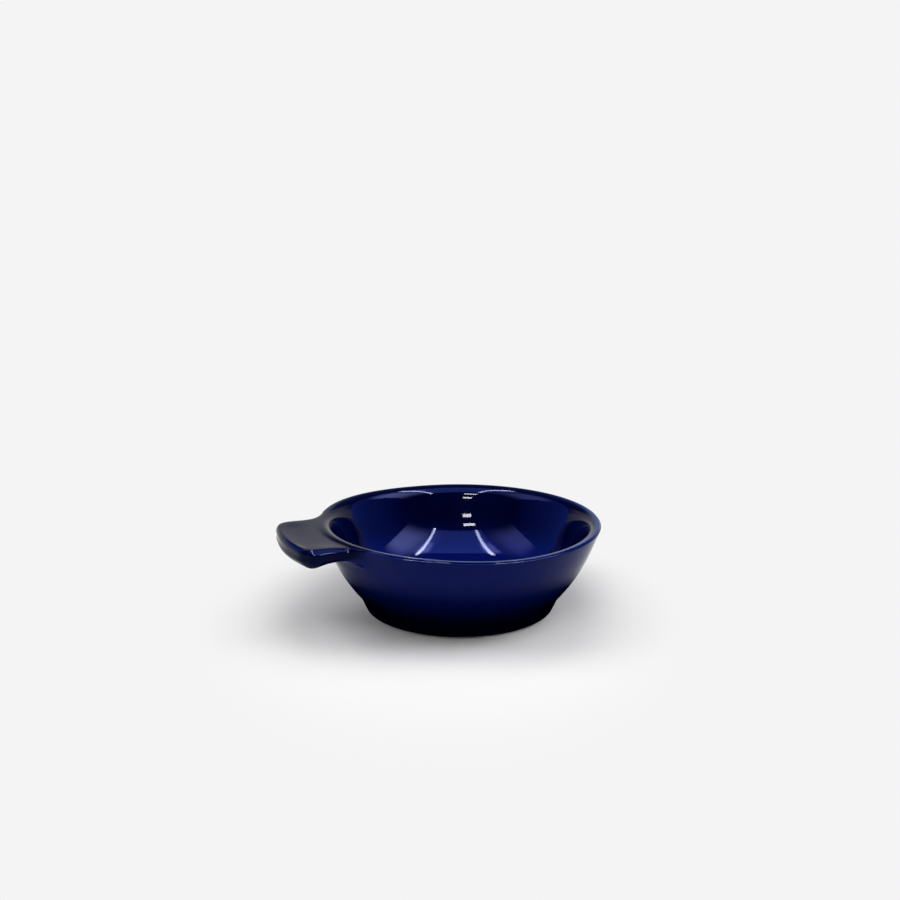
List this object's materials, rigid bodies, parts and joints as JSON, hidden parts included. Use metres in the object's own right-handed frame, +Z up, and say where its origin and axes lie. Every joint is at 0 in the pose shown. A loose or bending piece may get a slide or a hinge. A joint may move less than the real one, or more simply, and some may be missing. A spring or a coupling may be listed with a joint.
{
  "type": "one-handled appetizer dish",
  "caption": "Small round glazed stoneware dish with a sloping wall, a bare foot ring and a flat flared lug handle at the rim, for appetizers, dips or a baked single portion.",
  "frame": {"origin": "bottom centre of the whole object's box, on the table; the bowl's own axis stands 8.9 mm from it along +X", "axes": "+X points from the lug across the bowl, +Z points up, and the XZ plane halves the dish and its lug"},
  "size_m": [0.1378, 0.12, 0.0396],
  "materials": {
    "fired_clay": "bare fired stoneware, matt",
    "fired_slip": "fired slip, matt, hidden under the glaze",
    "blue_glaze": "high-gloss dark cobalt glaze"
  },
  "bodies": {
    "root": {"bowl_body": "fired_clay", "lug_handle": "fired_clay", "luting_slip": "fired_slip", "glaze_coat": "blue_glaze", "base_glaze": "blue_glaze"}
  },
  "joints": []
}
